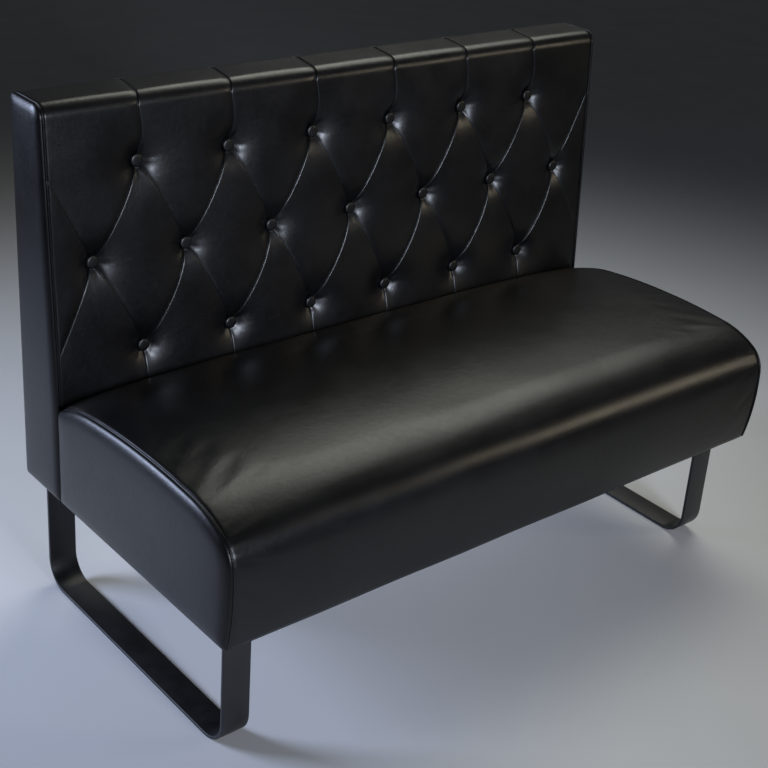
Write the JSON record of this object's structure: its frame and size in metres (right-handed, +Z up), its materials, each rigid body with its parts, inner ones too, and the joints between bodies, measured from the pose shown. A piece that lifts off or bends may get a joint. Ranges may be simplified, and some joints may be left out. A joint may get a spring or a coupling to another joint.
{
  "type": "booth bench",
  "caption": "Free-standing booth bench with a diamond-tufted, slightly raked back, a crowned box seat with a rounded front and bent flat-bar sled legs.",
  "frame": {"origin": "on the floor, in the middle of the overall length and depth", "axes": "+X along the bench, to the right of someone who faces it; +Y to its back; +Z up"},
  "size_m": [1.2, 0.6222, 0.9025],
  "materials": {
    "black_leatherette": "semi-gloss imitation leather with a fine grain",
    "button_leatherette": "the same imitation leather, pulled over button shells",
    "seam_leatherette": "the same imitation leather, sewn and turned out",
    "leg_steel": "satin black powder coat on flat steel bar",
    "zinc_steel": "zinc plated",
    "plywood": "raw birch plywood",
    "timber": "planed softwood",
    "foam": "open-cell foam",
    "dust_cloth": "black non-woven cloth",
    "twine": "waxed twine",
    "toggle_plastic": "moulded"
  },
  "bodies": {
    "root": {"back_bottom_rail": "timber", "back_cover": "black_leatherette", "back_dust_cover": "dust_cloth", "back_foam": "foam", "back_front_board": "plywood", "back_left_seam_lip": "seam_leatherette", "back_left_side_cover": "black_leatherette", "back_left_stile": "timber", "back_middle_rail": "timber", "back_rear_cover": "black_leatherette", "back_right_seam_lip": "seam_leatherette", "back_right_side_cover": "black_leatherette", "back_right_stile": "timber", "back_top_rail": "timber", "bottom_row_buttons": "button_leatherette", "button_ties": "twine", "joining_blocks": "timber", "joining_bolts": "zinc_steel", "joining_inserts": "zinc_steel", "joining_washers": "zinc_steel", "left_leg_frame": "leg_steel", "left_leg_plate": "leg_steel", "leg_inserts": "zinc_steel", "leg_screws": "zinc_steel", "middle_row_buttons": "button_leatherette", "right_leg_frame": "leg_steel", "right_leg_plate": "leg_steel", "seat_centre_rib": "timber", "seat_cover": "black_leatherette", "seat_deck": "plywood", "seat_dust_cover": "dust_cloth", "seat_foam": "foam", "seat_front_foam": "foam", "seat_front_rail": "timber", "seat_left_end_panel": "plywood", "seat_left_rib": "timber", "seat_left_seam_lip": "seam_leatherette", "seat_left_side_cover": "black_leatherette", "seat_rear_rail": "timber", "seat_right_end_panel": "plywood", "seat_right_rib": "timber", "seat_right_seam_lip": "seam_leatherette", "seat_right_side_cover": "black_leatherette", "tie_toggles": "toggle_plastic", "top_row_buttons": "button_leatherette"}
  },
  "joints": []
}
